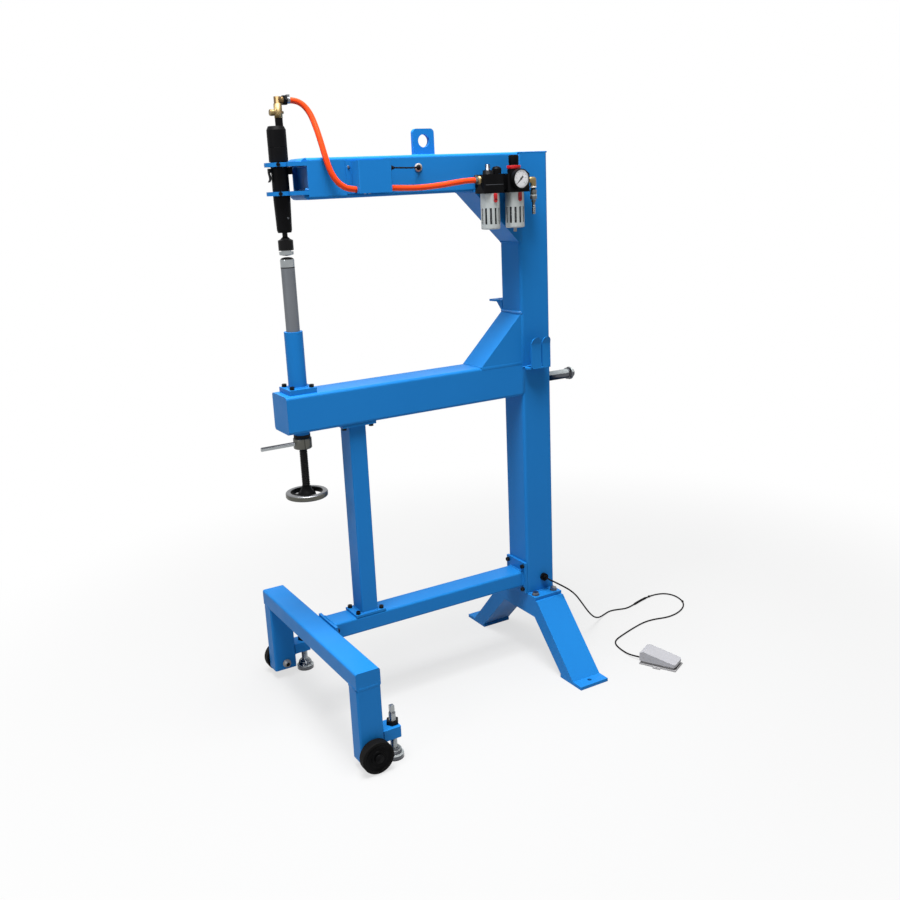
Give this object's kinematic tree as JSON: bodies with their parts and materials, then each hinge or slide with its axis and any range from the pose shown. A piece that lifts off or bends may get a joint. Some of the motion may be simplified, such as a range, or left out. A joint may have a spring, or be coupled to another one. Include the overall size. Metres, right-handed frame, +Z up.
{
  "type": "pneumatic planishing hammer",
  "caption": "Floor-standing C-frame planishing hammer: air hammer over a screw-set anvil post, wheeled stand with levelling jacks, air preparation unit and foot pedal.",
  "frame": {"origin": "on the floor, midway between the two floor-bolt holes, under the column's centre", "axes": "+Z up; +X towards the column's back, so the hammer is at -X; +Y away from the side that carries the air unit"},
  "size_m": [1.5008, 0.7611, 1.7041],
  "materials": {
    "blue_paint": "gloss blue enamel over smooth steel",
    "black_oxide": "black oxide, satin",
    "zinc": "bright zinc plate",
    "tyre": "matte black",
    "black_plastic": "satin moulded",
    "chrome": "polished plate",
    "black_paint": "semi-gloss black",
    "ground_steel": "ground, fine circumferential lines",
    "brass": "turned brass, slightly dull",
    "black_rubber": "matte cord jacket",
    "orange_hose": "soft satin hose",
    "guard_grey": "satin light grey",
    "red_plastic": "gloss red",
    "grey_plastic": "moulded light grey"
  },
  "bodies": {
    "root": {"anvil_tube": "blue_paint", "black_fasteners": "black_oxide", "column": "blue_paint", "cord_gland": "black_plastic", "cord_ties": "black_rubber", "corner_gussets": "blue_paint", "die_rack": "blue_paint", "filter_bowl": "guard_grey", "front_crossbar": "blue_paint", "front_legs": "blue_paint", "gauge_case": "black_plastic", "hammer_barrel": "black_paint", "hammer_casing": "black_paint", "hammer_clamps": "blue_paint", "hose_drop": "orange_hose", "hose_peg": "chrome", "hose_run": "orange_hose", "inlet_elbow": "brass", "inlet_valve": "brass", "lifting_eye": "blue_paint", "lower_beam": "blue_paint", "lubricator_bowl": "guard_grey", "lubricator_head": "black_plastic", "pedal_base": "grey_plastic", "pedal_cord": "black_rubber", "pedal_holder": "blue_paint", "rear_base": "blue_paint", "regulator_body": "black_plastic", "solenoid_valve": "black_plastic", "strut": "blue_paint", "tie_bar": "blue_paint", "top_beam": "blue_paint", "valve_cable": "black_rubber", "valve_cover": "blue_paint", "wheel_axles": "zinc", "zinc_fasteners": "zinc"},
    "near_wheel": {"near_wheel": "tyre"},
    "far_wheel": {"far_wheel": "tyre"},
    "near_pad": {"near_jack_pad": "zinc"},
    "near_screw": {"near_jack_screw": "zinc"},
    "far_pad": {"far_jack_pad": "zinc"},
    "far_screw": {"far_jack_screw": "zinc"},
    "piston": {"piston": "ground_steel"},
    "ram": {"die_holder": "black_oxide", "upper_die": "ground_steel"},
    "throttle_lever": {"throttle_lever": "black_paint"},
    "valve_knob": {"valve_knob": "brass"},
    "post": {"anvil_post": "ground_steel", "lower_die": "ground_steel"},
    "screw": {"anvil_screw": "black_oxide", "handwheel": "chrome"},
    "lock_ring": {"lock_ring": "chrome"},
    "lubricator_knob": {"lubricator_knob": "black_plastic"},
    "regulator_knob": {"regulator_knob": "black_plastic"},
    "lubricator_latch": {"lubricator_latch": "red_plastic"},
    "filter_latch": {"filter_latch": "red_plastic"},
    "gauge_needle": {"gauge_needle": "black_plastic"},
    "coupler_sleeve": {"coupler_sleeve": "zinc"},
    "inlet_plug": {"inlet_plug": "zinc"},
    "pedal_cover": {"pedal_cover": "grey_plastic"}
  },
  "joints": [
    {"name": "near_wheel_spin", "type": "hinge", "parent": "root", "child": "near_wheel", "pos_m": [-0.7435, -0.3475, 0.046], "axis": [0, 1, 0], "continuous": true},
    {"name": "far_wheel_spin", "type": "hinge", "parent": "root", "child": "far_wheel", "pos_m": [-0.7435, 0.3475, 0.046], "axis": [0, 1, 0], "continuous": true},
    {"name": "near_jack_height", "type": "slide", "parent": "root", "child": "near_pad", "axis": [0, 0, 1], "range_m": [-0.015, 0.01]},
    {"name": "near_jack_turn", "type": "hinge", "parent": "near_pad", "child": "near_screw", "pos_m": [-0.673, -0.307, 0.1], "axis": [0, 0, 1], "range_deg": [-2161, 1441]},
    {"name": "far_jack_height", "type": "slide", "parent": "root", "child": "far_pad", "axis": [0, 0, 1], "range_m": [-0.015, 0.01]},
    {"name": "far_jack_turn", "type": "hinge", "parent": "far_pad", "child": "far_screw", "pos_m": [-0.673, 0.307, 0.1], "axis": [0, 0, 1], "range_deg": [-2161, 1441]},
    {"name": "anvil_height", "type": "slide", "parent": "root", "child": "post", "axis": [0, 0, 1], "range_m": [-0.04, 0.002]},
    {"name": "anvil_turn", "type": "hinge", "parent": "post", "child": "screw", "pos_m": [-0.7388, 0, 0.8], "axis": [0, 0, 1], "range_deg": [-2881, 145]},
    {"name": "lock_turn", "type": "hinge", "parent": "root", "child": "lock_ring", "pos_m": [-0.7388, 0, 0.819], "axis": [0, 0, 1], "range_deg": [-45, 0]},
    {"name": "ram_stroke", "type": "slide", "parent": "root", "child": "ram", "axis": [0, 0, 1], "range_m": [0, 0.008]},
    {"name": "piston_stroke", "type": "slide", "parent": "root", "child": "piston", "axis": [0, 0, 1], "range_m": [0, 0.065]},
    {"name": "throttle_press", "type": "hinge", "parent": "root", "child": "throttle_lever", "pos_m": [-0.7626, 0, 1.525], "axis": [0, -1, 0], "range_deg": [0, 5], "stiffness_Nm_per_rad": 0.05, "springref_deg": -5.73},
    {"name": "air_setting", "type": "hinge", "parent": "root", "child": "valve_knob", "pos_m": [-0.745, 0, 1.662], "axis": [1, 0, 0], "range_deg": [0, 90]},
    {"name": "drip_setting", "type": "hinge", "parent": "root", "child": "lubricator_knob", "pos_m": [-0.145, -0.085, 1.5], "axis": [0, 0, 1], "range_deg": [0, 270]},
    {"name": "pressure_setting", "type": "hinge", "parent": "root", "child": "regulator_knob", "pos_m": [-0.088, -0.085, 1.52], "axis": [0, 0, 1], "range_deg": [-360, 360]},
    {"name": "needle_swing", "type": "hinge", "parent": "root", "child": "gauge_needle", "pos_m": [-0.093, -0.1263, 1.4785], "axis": [0, 1, 0], "range_deg": [0, 270], "stiffness_Nm_per_rad": 0.0005, "springref_deg": -5.73},
    {"name": "lubricator_latch_slide", "type": "slide", "parent": "root", "child": "lubricator_latch", "axis": [0, 0, 1], "range_m": [-0.006, 0], "stiffness_N_per_m": 200, "springref_m": 0.001},
    {"name": "filter_latch_slide", "type": "slide", "parent": "root", "child": "filter_latch", "axis": [0, 0, 1], "range_m": [-0.006, 0], "stiffness_N_per_m": 200, "springref_m": 0.001},
    {"name": "sleeve_pull", "type": "slide", "parent": "root", "child": "coupler_sleeve", "axis": [0, 0, 1], "range_m": [0, 0.004], "stiffness_N_per_m": 400},
    {"name": "plug_pull", "type": "slide", "parent": "root", "child": "inlet_plug", "axis": [0, 0, 1], "range_m": [-0.03, 0]},
    {"name": "pedal_press", "type": "hinge", "parent": "root", "child": "pedal_cover", "pos_m": [0.23387, -0.28807, 0.024], "axis": [0.8926, 0.4509, 0], "range_deg": [0, 3.5], "stiffness_Nm_per_rad": 1.5, "springref_deg": -11.46}
  ],
  "couplings": [
    {"joint": "near_jack_turn", "follows": "near_jack_height", "rad_per_m": 2513.3},
    {"joint": "far_jack_turn", "follows": "far_jack_height", "rad_per_m": 2513.3},
    {"joint": "anvil_turn", "follows": "anvil_height", "rad_per_m": 1256.6}
  ]
}
